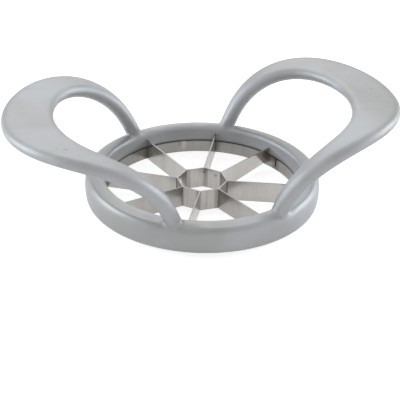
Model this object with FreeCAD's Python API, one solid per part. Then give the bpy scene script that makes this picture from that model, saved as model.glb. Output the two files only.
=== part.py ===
import FreeCAD, Part
import math
import os

# Apple slicer: a die-cast aluminium ring with two loop handles carries a thin steel hoop,
# and eight steel blades run from the hoop to an octagonal core tube.
# Millimetres. +Z is up and +X runs along the handles. The origin is on the ring's axis,
# in the plane of the cutting edges, which the slicer rests on.

# ---- hoop --------------------------------------------------------------------------------
HOOP_INNER_RADIUS = 46.4
HOOP_THICKNESS = 0.7
HOOP_HEIGHT = 6.2
HOOP_BOTTOM = 1.8
HOOP_SLOT_DEPTH = 4.3

# ---- core tube and blades ----------------------------------------------------------------
CORE_RADIUS = 12.4
CORE_WALL = 0.7
CORE_TWIST = 3.5
BLADE_COUNT = 8
BLADE_HEIGHT = 10.4
BLADE_THICKNESS = 0.6
BLADE_FIRST_ANGLE = 22.5
BLADE_RISE = 1.5
BLADE_BITE = 0.9
SLOT_CLEARANCE = 0.1
# The first blade sits out of its slot, turned by this angle, and twists towards the hoop.
LOOSE_BLADE_TURN = 7.0
LOOSE_BLADE_TWIST = 18.0

# ---- cast ring, in section ---------------------------------------------------------------
# Set out from the hoop's seat: a lip over the hoop, a round bead along the inner edge, a
# slope down to the shoulder, a slightly bowed wall and a rounded foot.
SEAT_CLEARANCE = 0.05
LIP_WIDTH = 0.8
LIP_GAP = 0.4
RING_HEIGHT = 16.2
RING_WIDTH = 8.85
BEAD_RADIUS = 2.8
BEAD_SETBACK = 0.15
BEAD_FLANK_ANGLE = 72.0
SLOPE_BOW = 0.15
SHOULDER_DROP = 2.05
SHOULDER_WIDTH = 1.0
SHOULDER_DEPTH = 1.2
SHOULDER_BOW = 0.25
WALL_BOW = 0.35
FOOT_HEIGHT = 2.4
FOOT_ROUND = 2.4
FOOT_INSET = 2.0
FOOT_BOW = 0.6

# ---- loop handles ------------------------------------------------------------------------
# Side view: a Bezier curve that leaves the ring steeply and levels out at the palm.
ROOT_X = 21.9
ROOT_HEIGHT = 5.6
ROOT_STEEPNESS = 79.4
ROOT_PULL = 28.8
TIP_X = 91.5
TIP_HEIGHT = 47.0
TIP_DROOP = 7.8
TIP_PULL = 43.5
# Seen from above, the rounded rims of the strap follow two Bezier rails, one round the
# outside and one round the finger opening.
ARM_INSET = 4.1
OUTER_LEAN = 15.6
OUTER_PULL = 38.5
OUTER_TIP_PULL = 30.4
OPENING_LEAN = 9.0
OPENING_PULL = 32.1
OPENING_TIP_PULL = 25.0
OPENING_X = 72.4
ARM_FLAT = 0.9
ARM_THICKNESS = 7.2
PALM_THICKNESS = 4.7
HALF_LOOP_STATIONS = 10
# Each arm spreads along the ring as it runs down into it: (depth below the top, width).
SPREAD_STATIONS = [(10.2, 17.0), (6.2, 13.0), (3.0, 10.2)]
SPREAD_THICKNESS = 7.4


ORIGIN = FreeCAD.Vector(0, 0, 0)
UP = FreeCAD.Vector(0, 0, 1)


def ring_point(radius, degrees, height=0.0):
    angle = math.radians(degrees)
    return FreeCAD.Vector(radius * math.cos(angle), radius * math.sin(angle), height)


def xz(radius, height):
    return FreeCAD.Vector(radius, 0.0, height)


def line(p, q):
    return Part.LineSegment(p, q).toShape()


def arc(p, middle, q):
    return Part.Arc(p, middle, q).toShape()


def bowed(p, q, bow):
    """An arc that stands off its chord by the bow, on the outer side of the section."""
    chord = (q - p).normalize()
    return arc(p, 0.5 * (p + q) + FreeCAD.Vector(-chord.z, 0, chord.x) * bow, q)


def bezier(points, t):
    a, b, c, d = points
    s = 1.0 - t
    return a * s**3 + b * (3.0 * s * s * t) + c * (3.0 * s * t * t) + d * t**3


# ---- derived sizes -----------------------------------------------------------------------
HOOP_OUTER_RADIUS = HOOP_INNER_RADIUS + HOOP_THICKNESS
SEAT_RADIUS = HOOP_OUTER_RADIUS + SEAT_CLEARANCE
LIP_RADIUS = SEAT_RADIUS - LIP_WIDTH
LIP_HEIGHT = HOOP_BOTTOM + HOOP_HEIGHT + LIP_GAP
WALL_RADIUS = SEAT_RADIUS + RING_WIDTH
ARM_RADIUS = WALL_RADIUS - ARM_INSET
BLADE_STEP = 360.0 / BLADE_COUNT
BLADE_ANGLES = [BLADE_FIRST_ANGLE + BLADE_STEP * i for i in range(BLADE_COUNT)]


# ---- cast frame --------------------------------------------------------------------------
def bead_point(degrees):
    angle = math.radians(degrees)
    centre = xz(SEAT_RADIUS + BEAD_SETBACK + BEAD_RADIUS, RING_HEIGHT - BEAD_RADIUS)
    return centre + xz(math.cos(angle), math.sin(angle)) * BEAD_RADIUS


def ring_solid():
    """The cast ring, revolved from its section."""
    seat_foot = xz(SEAT_RADIUS, FOOT_HEIGHT)
    seat_top = xz(SEAT_RADIUS, LIP_HEIGHT)
    lip_edge = xz(SEAT_RADIUS - LIP_WIDTH, LIP_HEIGHT)
    shoulder_height = RING_HEIGHT - SHOULDER_DROP
    shoulder_top = xz(WALL_RADIUS - SHOULDER_WIDTH, shoulder_height)
    wall_top = xz(WALL_RADIUS, shoulder_height - SHOULDER_DEPTH)
    wall_foot = xz(WALL_RADIUS, FOOT_HEIGHT + FOOT_ROUND)
    foot_edge = xz(WALL_RADIUS - FOOT_INSET, FOOT_HEIGHT)
    section = Part.Wire([
        line(seat_foot, seat_top),
        line(seat_top, lip_edge),
        line(lip_edge, bead_point(180.0)),
        arc(bead_point(180.0), bead_point(135.0), bead_point(BEAD_FLANK_ANGLE)),
        bowed(bead_point(BEAD_FLANK_ANGLE), shoulder_top, SLOPE_BOW),
        bowed(shoulder_top, wall_top, SHOULDER_BOW),
        bowed(wall_top, wall_foot, WALL_BOW),
        bowed(wall_foot, foot_edge, FOOT_BOW),
        line(foot_edge, seat_foot),
    ])
    return Part.Face(section).revolve(ORIGIN, UP, 360.0)


def on_side_curve(axis, value):
    """Where the handle's middle surface first reaches a value, along x (0) or z (2)."""
    root = xz(ROOT_X, ROOT_HEIGHT)
    tip = xz(TIP_X, TIP_HEIGHT)
    steep = math.radians(ROOT_STEEPNESS)
    droop = math.radians(TIP_DROOP)
    leave = root + xz(math.cos(steep), math.sin(steep)) * ROOT_PULL
    arrive = tip + xz(-math.cos(droop), math.sin(droop)) * TIP_PULL
    low, high = 0.0, 1.0
    while high - low > 1e-9:
        middle = 0.5 * (low + high)
        if bezier([root, leave, arrive, tip], middle)[axis] < value:
            low = middle
        else:
            high = middle
    return bezier([root, leave, arrive, tip], high)


def arm_angle(height):
    """Angle round the ring at which an arm passes a height."""
    return math.degrees(math.acos(on_side_curve(2, height).x / ARM_RADIUS))


def rail(root, lean, pull, tip_x, tip_pull):
    """Plan of one rim, from the ring to the middle of the palm."""
    tip = FreeCAD.Vector(tip_x, 0, 0)
    return [root, root + ring_point(pull, lean), tip + FreeCAD.Vector(0, tip_pull, 0), tip]


def on_rail(curve, t, side):
    point = bezier(curve, t)
    return FreeCAD.Vector(point.x, side * point.y, on_side_curve(0, point.x).z)


def strap_section(centre, across, normal, flat, edge, thickness):
    """A bar's section: two flat faces joined by half-round edges, or by half ellipses."""
    face = normal * (0.5 * thickness)
    side = across * (0.5 * flat)
    round_edges = []
    for sign in (1.0, -1.0):
        middle = centre + side * sign
        curve = Part.Ellipse(middle + face * sign, middle + across * (edge * sign), middle)
        round_edges.append(Part.ArcOfEllipse(curve, 0.0, math.pi).toShape())
    return Part.Wire([
        line(centre + face - side, centre + face + side),
        round_edges[0],
        line(centre - face + side, centre - face - side),
        round_edges[1],
    ])


def loop_sections():
    """Sections up one arm, round the palm and down the other arm, square to the strap."""
    root = ring_point(ARM_RADIUS, arm_angle(RING_HEIGHT))
    half_flat = FreeCAD.Vector(0, 0.5 * ARM_FLAT, 0)
    outer = rail(root + half_flat, OUTER_LEAN, OUTER_PULL, TIP_X, OUTER_TIP_PULL)
    opening = rail(root - half_flat, OPENING_LEAN, OPENING_PULL, OPENING_X, OPENING_TIP_PULL)
    sections = []
    for i in range(2 * HALF_LOOP_STATIONS + 1):
        side = 1.0 if i <= HALF_LOOP_STATIONS else -1.0
        t = 1.0 - abs(i - HALF_LOOP_STATIONS) / HALF_LOOP_STATIONS
        outside = on_rail(outer, t, side)
        inside = on_rail(opening, t, side)
        behind = 0.5 * (on_rail(outer, t - 0.01, side) + on_rail(opening, t - 0.01, side))
        centre = 0.5 * (outside + inside)
        travel = (centre - behind) * side
        span = outside - inside
        across = span - travel * (span.dot(travel) / travel.dot(travel))
        across.normalize()
        normal = travel.cross(across).normalize()
        thickness = ARM_THICKNESS + (PALM_THICKNESS - ARM_THICKNESS) * t
        edge = 0.4999 * thickness
        sections.append(strap_section(centre, across, normal, span.Length, edge, thickness))
    return sections


def spread_sections(side):
    """Sections of an arm's lower end, standing in the cast ring and wide along it."""
    sections = []
    for depth, width in SPREAD_STATIONS:
        height = RING_HEIGHT - depth
        angle = side * arm_angle(height)
        centre = ring_point(ARM_RADIUS, angle, height)
        outward = ring_point(1.0, angle)
        along = outward.cross(UP) * -side
        edge = 0.5 * (SPREAD_THICKNESS - ARM_FLAT)
        sections.append(strap_section(centre, outward, along, ARM_FLAT, edge, width))
    return sections


def handle_solid():
    """One loop handle as a single smooth strap with both of its ends in the ring."""
    sections = spread_sections(1.0) + loop_sections() + spread_sections(-1.0)[::-1]
    return Part.makeLoft(sections, True, False)


def cast_frame():
    handle = handle_solid()
    mirrored = handle.mirror(ORIGIN, FreeCAD.Vector(1, 0, 0))
    frame = ring_solid().fuse([handle, mirrored])
    for angle in BLADE_ANGLES[1:]:
        frame = frame.cut(blade_solid(angle, SLOT_CLEARANCE))
    return frame.removeSplitter()


# ---- steel parts -------------------------------------------------------------------------
def standing_plate(outline, start, direction, thickness):
    """A plate on edge: its outline is given as (distance along, height) pairs."""
    points = [start + direction * along + UP * height for along, height in outline]
    across = direction.cross(UP) * thickness
    face = Part.Face(Part.makePolygon(points + points[:1]))
    face.translate(across * -0.5)
    return face.extrude(across)


def blade_solid(angle, clearance=0.0):
    """A blade from the core's corner to its slot, or the room it needs, by the clearance.

    Its outer end is stepped: below the hoop's slot it stops at the hoop's inner wall.
    """
    start = ring_point(CORE_RADIUS, angle + CORE_TWIST)
    direction = ring_point(HOOP_INNER_RADIUS, angle) - start
    to_hoop = direction.Length
    direction.normalize()
    tip = to_hoop + HOOP_THICKNESS + BLADE_BITE + clearance
    slope = BLADE_RISE / to_hoop
    step = HOOP_BOTTOM + HOOP_HEIGHT - HOOP_SLOT_DEPTH - clearance
    outline = [
        (0.0, -clearance),
        (to_hoop, BLADE_RISE - clearance),
        (to_hoop, step),
        (tip, step),
        (tip, BLADE_HEIGHT + slope * tip + clearance),
        (0.0, BLADE_HEIGHT + clearance),
    ]
    return standing_plate(outline, start, direction, BLADE_THICKNESS + 2.0 * clearance)


def strip_end(upper_edge, direction, twist):
    """The end of a strip that hangs from its upper edge, turned out of upright."""
    angle = math.radians(twist)
    across = direction.cross(UP)
    down = UP * -math.cos(angle) - across * math.sin(angle)
    half = down.cross(direction) * (0.5 * BLADE_THICKNESS)
    lower_edge = upper_edge + down * BLADE_HEIGHT
    corners = [upper_edge - half, upper_edge + half, lower_edge + half, lower_edge - half]
    return Part.makePolygon(corners + corners[:1])


def loose_blade(angle):
    """The blade with no hold in its slot: a twisted strip, cut off at the hoop's wall."""
    start = ring_point(CORE_RADIUS, angle + CORE_TWIST, BLADE_HEIGHT)
    end = ring_point(HOOP_OUTER_RADIUS, angle + LOOSE_BLADE_TURN, BLADE_HEIGHT)
    direction = (end - start).normalize()
    ends = [strip_end(start, direction, 0.0),
            strip_end(end + UP * BLADE_RISE, direction, LOOSE_BLADE_TWIST)]
    strip = Part.makeLoft(ends, True, True)
    return strip.common(Part.makeCylinder(HOOP_INNER_RADIUS, RING_HEIGHT))


def hoop():
    band = Part.makeCylinder(HOOP_OUTER_RADIUS, HOOP_HEIGHT)
    band = band.cut(Part.makeCylinder(HOOP_INNER_RADIUS, HOOP_HEIGHT))
    band.translate(UP * HOOP_BOTTOM)
    for angle in BLADE_ANGLES:
        band = band.cut(blade_solid(angle, SLOT_CLEARANCE))
    return band


def octagon(radius, height):
    corners = [ring_point(radius, angle + CORE_TWIST) for angle in BLADE_ANGLES]
    face = Part.Face(Part.makePolygon(corners + corners[:1]))
    return face.extrude(UP * height)


def core_tube():
    return octagon(CORE_RADIUS, BLADE_HEIGHT).cut(octagon(CORE_RADIUS - CORE_WALL, BLADE_HEIGHT))


# ---- write the parts ---------------------------------------------------------------------
core_block = octagon(CORE_RADIUS, BLADE_HEIGHT)
blades = [loose_blade(BLADE_ANGLES[0])] + [blade_solid(angle) for angle in BLADE_ANGLES[1:]]
parts = {"cast_frame": cast_frame(), "blade_band": hoop(), "core_tube": core_tube()}
for number, blade in enumerate(blades, start=1):
    parts["blade_" + str(number)] = blade.cut(core_block)

os.makedirs("parts", exist_ok=True)
for name, shape in parts.items():
    shape.exportStep(os.path.join("parts", name + ".step"))
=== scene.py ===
import math

import bpy
from mathutils import Euler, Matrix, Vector

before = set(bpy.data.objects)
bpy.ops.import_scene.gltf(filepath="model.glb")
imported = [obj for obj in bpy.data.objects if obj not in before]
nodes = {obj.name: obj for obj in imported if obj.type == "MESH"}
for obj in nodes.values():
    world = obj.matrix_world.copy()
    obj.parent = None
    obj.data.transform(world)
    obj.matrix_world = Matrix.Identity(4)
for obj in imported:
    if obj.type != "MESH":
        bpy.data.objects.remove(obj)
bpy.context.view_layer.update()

MM = 0.001
HALF_WEDGE = 22.5  # degrees: half the angle between two blades

# ---- helpers for node materials ------------------------------------------------------------


class Shader:
    """A node material that is built in short steps, on places in metres."""

    def __init__(self, name):
        self.material = bpy.data.materials.new(name)
        self.material.use_nodes = True
        self.tree = self.material.node_tree
        self.bsdf = self.tree.nodes["Principled BSDF"]
        self.place = self.tree.nodes.new("ShaderNodeTexCoord").outputs["Object"]

    def node(self, kind, **settings):
        made = self.tree.nodes.new(kind)
        for name, value in settings.items():
            setattr(made, name, value)
        return made

    def put(self, socket, value):
        if isinstance(value, bpy.types.NodeSocket):
            self.tree.links.new(value, socket)
        else:
            socket.default_value = value

    def math(self, operation, a, b=0.0, c=0.0):
        made = self.node("ShaderNodeMath", operation=operation)
        for socket, value in zip(made.inputs, (a, b, c)):
            self.put(socket, value)
        return made.outputs[0]

    def vector_math(self, operation, a, b=(0.0, 0.0, 0.0)):
        made = self.node("ShaderNodeVectorMath", operation=operation)
        self.put(made.inputs[0], a)
        self.put(made.inputs[1], b)
        return made.outputs["Value" if operation == "LENGTH" else "Vector"]

    def noise(self, scale, detail=2.0, roughness=0.5, stretch=(1.0, 1.0, 1.0), seed=0.0):
        """Noise with features of about 1 / scale metres, as a value about 0.5."""
        mapping = self.node("ShaderNodeMapping")
        self.put(mapping.inputs["Vector"], self.place)
        mapping.inputs["Scale"].default_value = stretch
        mapping.inputs["Location"].default_value = (seed, 0.37 * seed, 0.71 * seed)
        made = self.node("ShaderNodeTexNoise")
        self.put(made.inputs["Vector"], mapping.outputs[0])
        self.put(made.inputs["Scale"], scale)
        self.put(made.inputs["Detail"], detail)
        self.put(made.inputs["Roughness"], roughness)
        return made.outputs["Fac"]

    def ramp(self, value, low, high, start=0.0, end=1.0):
        """From start where the value is low to end where it is high, with soft turns."""
        made = self.node("ShaderNodeMapRange", interpolation_type="SMOOTHSTEP")
        for socket, number in zip(made.inputs, (value, low, high, start, end)):
            self.put(socket, number)
        return made.outputs[0]

    def mix(self, amount, a, b):
        """Colour a, with this amount of colour b over it."""
        made = self.node("ShaderNodeMix", data_type="RGBA")
        self.put(made.inputs[0], amount)
        self.put(made.inputs[6], a)
        self.put(made.inputs[7], b)
        return made.outputs[2]

    def mix_vectors(self, amount, a, b):
        made = self.node("ShaderNodeMix", data_type="VECTOR")
        self.put(made.inputs[0], amount)
        self.put(made.inputs[4], a)
        self.put(made.inputs[5], b)
        return made.outputs[1]

    def axes(self):
        made = self.node("ShaderNodeSeparateXYZ")
        self.put(made.inputs[0], self.place)
        return made.outputs

    def distance(self, a, b):
        """How far a point lies from the middle when a and b are its two coordinates."""
        return self.math("SQRT", self.math("MULTIPLY_ADD", a, a, self.math("MULTIPLY", b, b)))

    def radius(self):
        """The distance from the ring's upright axis."""
        x, y, _ = self.axes()
        return self.distance(x, y)

    def degrees_from_blades(self):
        """The angle about the ring's axis from the nearest of the eight blades."""
        x, y, _ = self.axes()
        turn = self.math("ARCTAN2", y, x)
        turn = self.math("MULTIPLY_ADD", turn, 180.0 / math.pi, -HALF_WEDGE)
        return self.math("PINGPONG", turn, HALF_WEDGE)

    def spot(self, centre, radius, softness, amount=1.0, stretch=(1.0, 1.0, 1.0)):
        """The amount near a point, fading to 0 away from it; place and sizes in millimetres."""
        away = self.vector_math("SUBTRACT", self.place, [MM * c for c in centre])
        away = self.vector_math("MULTIPLY", away, [1.0 / c for c in stretch])
        away = self.vector_math("LENGTH", away)
        return self.ramp(away, MM * radius, MM * (radius + softness), amount, 0.0)

    def facing_up(self):
        """1 on faces that lie level and look up."""
        geometry = self.node("ShaderNodeNewGeometry")
        made = self.node("ShaderNodeSeparateXYZ")
        self.put(made.inputs[0], geometry.outputs["True Normal"])
        return self.ramp(made.outputs["Z"], 0.6, 0.9)

    def rounded(self, radius):
        """Normals as if edges and inside corners were rounded off."""
        made = self.node("ShaderNodeBevel", samples=8)
        self.put(made.inputs["Radius"], radius)
        return made.outputs["Normal"]

    def bump(self, height, distance, strength, normal):
        made = self.node("ShaderNodeBump")
        self.put(made.inputs["Normal"], normal)
        self.put(made.inputs["Height"], height)
        self.put(made.inputs["Distance"], distance)
        self.put(made.inputs["Strength"], strength)
        return made.outputs["Normal"]


def grey(value, tint=(1.0, 1.0, 1.0)):
    return (value * tint[0], value * tint[1], value * tint[2], 1.0)


BROWN = (0.085, 0.060, 0.038, 1.0)
OLIVE = (0.20, 0.165, 0.075, 1.0)

# ---- cast aluminium ------------------------------------------------------------------------
CAST_DARK = grey(0.345, (1.0, 1.005, 0.995))
CAST_LIGHT = grey(0.415, (0.98, 1.0, 1.035))
CAST_STREAK = grey(0.31, (0.99, 1.0, 1.02))
CAST_SMUDGE = grey(0.27, (1.02, 1.0, 0.98))
CAST_PIT = grey(0.16)
CAST_NICK = grey(0.15, (1.0, 1.0, 0.98))
HOOP_GAP_SHADE = grey(0.05)

# Nicks and scuffs on the palms: centre, radius and softness in mm, amount, stretch.
CAST_MARKS = [
    ((-69.7, -33.8, 50.5), 0.2, 0.8, 0.60, (1.6, 0.8, 1.0)),
    ((83.6, 2.1, 49.8), 0.1, 0.6, 0.60, (1.0, 1.0, 1.0)),
    ((83.3, -8.0, 49.9), 0.2, 1.2, 0.20, (2.2, 0.5, 1.0)),
    ((85.5, -14.0, 49.6), 0.2, 1.2, 0.20, (2.2, 0.5, 1.0)),
]
# Painted shade on the lip beside the end of blade 1: centre, radius and softness in mm, amount.
LIP_SHADE = ((40.3, 23.8, 8.9), 0.8, 1.6, 0.55)

# How far the casting's edges look rounded: low down, at the palms, and more at the roots.
LOW_SOFTNESS = 2.4 * MM
PALM_SOFTNESS = 5.0 * MM
EXTRA_ROOT_SOFTNESS = 2.0 * MM

# The middle of each handle's root, on either side of both axes.
ROOT_X = 21.9 * MM
ROOT_Y = 47.1 * MM

# The ring's crown as the photograph shows it: flat between two radii, and rounded off on
# each side by a quarter of an ellipse of that side's width and of the crown's rise.
CROWN_INSIDE = 48.2 * MM
CROWN_OUTSIDE = 52.8 * MM
INNER_ROUND = 1.5 * MM
OUTER_ROUND = 3.4 * MM
CROWN_START = 12.0 * MM
CROWN_RISE = 4.2 * MM


def near_roots(s):
    """1 at the four roots of the handles and 0 from 15 mm off."""
    x, y, _ = s.axes()
    along = s.math("SUBTRACT", s.math("ABSOLUTE", x), ROOT_X)
    across = s.math("SUBTRACT", s.math("ABSOLUTE", y), ROOT_Y)
    return s.ramp(s.distance(along, across), 5.5 * MM, 15.0 * MM, 1.0, 0.0)


def on_ring_top(s, roots):
    """1 on the top of the ring, and 0 below it, on its outer wall, on the arms and roots."""
    z = s.axes()[2]
    here = s.math("SUBTRACT", 1.0, roots)
    for limit in (s.ramp(z, CROWN_START, 13.5 * MM),
                  s.ramp(z, CROWN_START + CROWN_RISE, 16.9 * MM, 1.0, 0.0),
                  s.ramp(s.radius(), 56.4 * MM, 56.8 * MM, 1.0, 0.0)):
        here = s.math("MULTIPLY", here, limit)
    return here


def crown_normal(s):
    """Normals of the crown in the photograph, which is flatter than the solid's bead."""
    x, y, z = s.axes()
    radius = s.radius()

    def lean(high, low, half_axis):
        """An ellipse's normal along one axis, for a point at high, with its centre at low."""
        past = s.math("MAXIMUM", s.math("SUBTRACT", high, low), 0.0)
        return s.math("DIVIDE", past, half_axis ** 2)

    outward = s.math("SUBTRACT", lean(radius, CROWN_OUTSIDE, OUTER_ROUND),
                     lean(CROWN_INSIDE, radius, INNER_ROUND))
    outward = s.math("DIVIDE", outward, radius)
    made = s.node("ShaderNodeCombineXYZ")
    s.put(made.inputs["X"], s.math("MULTIPLY", x, outward))
    s.put(made.inputs["Y"], s.math("MULTIPLY", y, outward))
    s.put(made.inputs["Z"], lean(z, CROWN_START, CROWN_RISE))
    return s.vector_math("NORMALIZE", made.outputs[0])


def cast_aluminium():
    """Matt casting: cloudy grey with drawn streaks, rubbed smudges and a few fine pits."""
    s = Shader("cast aluminium")
    cloud = s.noise(28.0, 3.0, 0.55)
    streak = s.noise(75.0, 4.0, 0.6, (0.30, 1.0, 1.0), 3.1)
    smudge = s.noise(48.0, 5.0, 0.65, (0.45, 1.0, 1.0), 8.2)
    grain = s.noise(2400.0, 2.0, 0.6, seed=1.7)
    pits = s.noise(330.0, 1.0, 0.5, seed=5.3)
    z = s.axes()[2]

    colour = s.mix(s.ramp(cloud, 0.35, 0.65), CAST_DARK, CAST_LIGHT)
    colour = s.mix(s.ramp(streak, 0.52, 0.72, 0.0, 0.30), colour, CAST_STREAK)
    colour = s.mix(s.ramp(smudge, 0.56, 0.78, 0.0, 0.50), colour, CAST_SMUDGE)
    colour = s.mix(s.ramp(pits, 0.76, 0.82, 0.0, 0.25), colour, CAST_PIT)
    for mark in CAST_MARKS:
        colour = s.mix(s.spot(*mark), colour, CAST_NICK)
    # Painted shade on the lip by blade 1's end.
    colour = s.mix(s.spot(*LIP_SHADE), colour, BROWN)
    # Painted shade where the lip meets the hoop, darkening the gap line between them.
    shade_at_hoop = s.math("MULTIPLY", s.ramp(z, 8.4 * MM, 9.6 * MM, 0.6, 0.0),
                     s.ramp(s.radius(), 47.2 * MM, 47.5 * MM, 1.0, 0.0))
    colour = s.mix(shade_at_hoop, colour, HOOP_GAP_SHADE)
    s.put(s.bsdf.inputs["Base Color"], colour)
    s.bsdf.inputs["Metallic"].default_value = 0.60
    s.put(s.bsdf.inputs["Roughness"], s.ramp(cloud, 0.3, 0.7, 0.45, 0.53))

    # The fine relief is grain, with pits that go in and streaks that stand up.
    height = s.math("MULTIPLY_ADD", s.ramp(pits, 0.74, 0.82), -0.8, grain)
    height = s.math("MULTIPLY_ADD", streak, 2.0, height)
    roots = near_roots(s)
    softness = s.math("MULTIPLY_ADD", roots, EXTRA_ROOT_SOFTNESS,
                      s.ramp(z, 18.0 * MM, 36.0 * MM, LOW_SOFTNESS, PALM_SOFTNESS))
    normal = s.mix_vectors(on_ring_top(s, roots), s.rounded(softness), crown_normal(s))
    normal = s.vector_math("NORMALIZE", normal)
    s.put(s.bsdf.inputs["Normal"], s.bump(height, 0.05 * MM, 0.5, normal))
    return s.material


# ---- rolled steel strip --------------------------------------------------------------------
# One kind of steel, given a tone of its own for each strip.
CORE_TONE = 0.44
BAND_TONE = 0.265
BLADE_TONES = [0.49, 0.41, 0.46, 0.43, 0.375, 0.43, 0.38, 0.44]

# How much of its tone the steel keeps in the dark of its grain.
TUBE_AND_BAND_GRAIN = 0.90
BLADE_GRAIN = 0.95


def rolled_steel(name, tone, dark, marks):
    """Warm bright strip: upright grain, a few dark specks, and marks of its own."""
    s = Shader(name)
    grain = s.noise(1500.0, 3.0, 0.6, (1.0, 1.0, 0.05), 2.2)
    broad = s.noise(160.0, 2.0, 0.5, (1.0, 1.0, 0.15), 6.4)
    specks = s.noise(900.0, 1.0, 0.5, seed=4.4)
    colour = s.mix(s.ramp(grain, 0.30, 0.70), grey(tone * dark, (1.035, 0.99, 0.95)),
                   grey(tone, (1.03, 1.0, 0.96)))
    colour = s.mix(s.ramp(broad, 0.45, 0.7, 0.0, 0.30), colour,
                   grey(tone * (2.0 * dark - 1.0), (1.05, 0.99, 0.93)))
    colour = s.mix(s.ramp(specks, 0.75, 0.79, 0.0, 0.6), colour, grey(0.12))
    for amount, stain in marks(s):
        colour = s.mix(amount, colour, stain)
    # Painted shade: faces that look up, the strips' top edges, are darker so that they show
    # less highlight.
    colour = s.mix(s.facing_up(), colour, grey(tone * 0.55))
    s.put(s.bsdf.inputs["Base Color"], colour)
    s.bsdf.inputs["Metallic"].default_value = 1.0
    s.put(s.bsdf.inputs["Roughness"], s.ramp(broad, 0.3, 0.7, 0.20, 0.28))
    s.put(s.bsdf.inputs["Normal"], s.bump(grain, 0.01 * MM, 0.3, s.rounded(0.1 * MM)))
    return s.material


def blade_marks(s):
    """Smears left by the juice."""
    smear = s.noise(90.0, 3.0, 0.6, (1.0, 1.0, 0.5), 9.6)
    return [(s.ramp(smear, 0.55, 0.75, 0.0, 0.30), grey(0.30, (1.06, 1.0, 0.92)))]


def core_marks(s):
    """Streaks, painted shade at the blades' corners, two dark spots and a painted glint."""
    streaks = s.noise(700.0, 2.0, 0.6, (1.0, 1.0, 0.03), 7.7)
    # Painted shade in the corners on both sides of each blade's joint with the core.
    blade_corner_shade = s.ramp(s.degrees_from_blades(), 2.0, 9.0, 0.50, 0.0)
    return [
        (s.ramp(streaks, 0.50, 0.70, 0.0, 0.38), grey(0.22, (1.06, 0.99, 0.93))),
        (blade_corner_shade, grey(0.15, (1.08, 0.99, 0.92))),
        (s.spot((3.7, 11.1, 8.2), 0.3, 0.5, 0.75), grey(0.09)),
        (s.spot((8.5, 6.9, 7.8), 0.3, 0.9, 0.55), grey(0.12)),
        # A painted glint inside the core's left wall.
        (s.spot((-9.0, 4.6, 6.4), 1.6, 1.0, 1.0, (1.0, 1.0, 1.6)), grey(0.95)),
    ]


def band_marks(s):
    """Brown at the blades (heat tint and painted reflection), painted shade at the top edge and
    by blade 1, and the weld at the back.
    """
    z = s.axes()[2]
    tall = (1.0, 1.0, 3.0)
    return [
        # Brown next to each blade: part heat tint, part painted reflection of the blade.
        (s.ramp(s.degrees_from_blades(), 0.5, 5.0, 0.55, 0.0), BROWN),
        # Painted shade along the band's upper edge, under the lip.
        (s.ramp(z, 7.1 * MM, 8.0 * MM, 0.0, 0.6), grey(0.07)),
        (s.spot((-0.4, 46.4, 7.2), 0.5, 0.7, 0.60, tall), OLIVE),
        (s.spot((1.9, 46.4, 6.2), 0.6, 1.0, 0.45, tall), grey(0.40, (1.10, 0.97, 0.92))),
        # Painted shade beside the end of blade 1.
        (s.spot((40.0, 23.4, 7.2), 1.4, 2.4, 0.80), BROWN),
    ]


materials = {
    "cast_frame": cast_aluminium(),
    "core_tube": rolled_steel("core steel", CORE_TONE, TUBE_AND_BAND_GRAIN, core_marks),
    "blade_band": rolled_steel("band steel", BAND_TONE, TUBE_AND_BAND_GRAIN, band_marks),
}
for number, tone in enumerate(BLADE_TONES, 1):
    materials[f"blade_{number}"] = rolled_steel(f"blade steel {number}", tone, BLADE_GRAIN,
                                                blade_marks)
for name, node in nodes.items():
    node.data.materials.clear()
    node.data.materials.append(materials[name])

# ---- floor, light and camera ---------------------------------------------------------------
# The floor and the world look white to the camera and in metal, and stay plain as light.
FLOOR_SIZE = 6.0
FLOOR_GAP = 0.2 * MM
FLOOR_LIFT = 0.70
WORLD_LIGHT = 0.38

AIM = Vector((0.0, 0.0, 0.02))
COOL = (0.98, 1.0, 1.02)
COOLER = (0.93, 1.0, 1.07)

# The photograph's camera: focal length in mm, place in metres, turn in degrees.
FOCAL_LENGTH = 104.37
CAMERA_PLACE = (-0.12590, -0.47542, 0.27723)
CAMERA_TURN = (60.474, -1.268, -14.021)


def seen_directly(tree):
    """1 for rays from the camera and for those that metal or glass send on."""
    rays = tree.nodes.new("ShaderNodeLightPath").outputs
    total = rays["Is Camera Ray"]
    for name in ("Is Glossy Ray", "Is Transmission Ray"):
        either = tree.nodes.new("ShaderNodeMath")
        either.operation = "MAXIMUM"
        tree.links.new(total, either.inputs[0])
        tree.links.new(rays[name], either.inputs[1])
        total = either.outputs[0]
    return total


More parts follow.
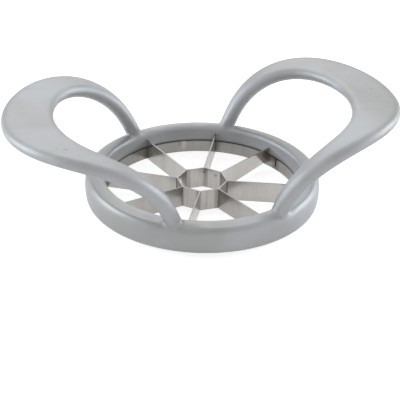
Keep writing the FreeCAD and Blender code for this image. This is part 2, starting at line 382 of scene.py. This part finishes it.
def white_floor():
    """Matt white paper just under the slicer."""
    bpy.ops.mesh.primitive_plane_add(size=FLOOR_SIZE, location=(0.0, 0.0, -FLOOR_GAP))
    floor = bpy.context.object
    floor.name = "floor"
    paper = Shader("paper")
    paper.put(paper.bsdf.inputs["Base Color"],
              paper.mix(paper.noise(3.0), grey(0.86), grey(0.90)))
    paper.bsdf.inputs["Roughness"].default_value = 0.9
    paper.bsdf.inputs["Specular IOR Level"].default_value = 0.2
    paper.bsdf.inputs["Emission Color"].default_value = grey(1.0)
    paper.put(paper.bsdf.inputs["Emission Strength"],
              paper.math("MULTIPLY", seen_directly(paper.tree), FLOOR_LIFT))
    floor.data.materials.append(paper.material)


def area_light(name, place, size, power, tint):
    """A round softbox, aimed at the slicer."""
    light = bpy.data.lights.new(name, "AREA")
    light.shape = "DISK"
    light.size = size
    light.energy = power
    light.color = tint
    holder = bpy.data.objects.new(name, light)
    holder.location = place
    holder.rotation_euler = (AIM - Vector(place)).to_track_quat("-Z", "Y").to_euler()
    bpy.context.collection.objects.link(holder)


def studio_world():
    """A soft even light, which the camera and metal see as white."""
    world = bpy.data.worlds.new("studio")
    world.use_nodes = True
    tree = world.node_tree
    background = tree.nodes["Background"]
    mix = tree.nodes.new("ShaderNodeMix")
    mix.data_type = "RGBA"
    mix.inputs[6].default_value = grey(WORLD_LIGHT)
    mix.inputs[7].default_value = grey(1.0)
    tree.links.new(seen_directly(tree), mix.inputs[0])
    tree.links.new(mix.outputs[2], background.inputs["Color"])
    background.inputs["Strength"].default_value = 1.0
    bpy.context.scene.world = world


def photo_camera():
    """The camera that took the photograph, solved from its ring and handles."""
    camera_data = bpy.data.cameras.new("camera")
    camera_data.lens = FOCAL_LENGTH
    camera_data.sensor_width = 36.0
    camera = bpy.data.objects.new("camera", camera_data)
    camera.location = CAMERA_PLACE
    camera.rotation_euler = Euler([math.radians(a) for a in CAMERA_TURN])
    bpy.context.collection.objects.link(camera)
    bpy.context.scene.camera = camera


white_floor()
area_light("back softbox", (0.1, 0.9, 1.0), 1.4, 5.7, COOL)
area_light("right softbox", (1.3, 0.05, 0.2), 0.9, 10.4, COOLER)
area_light("left softbox", (-1.2, 0.4, 0.34), 0.9, 8.2, COOLER)
studio_world()
photo_camera()
bpy.context.scene.view_settings.view_transform = "Standard"
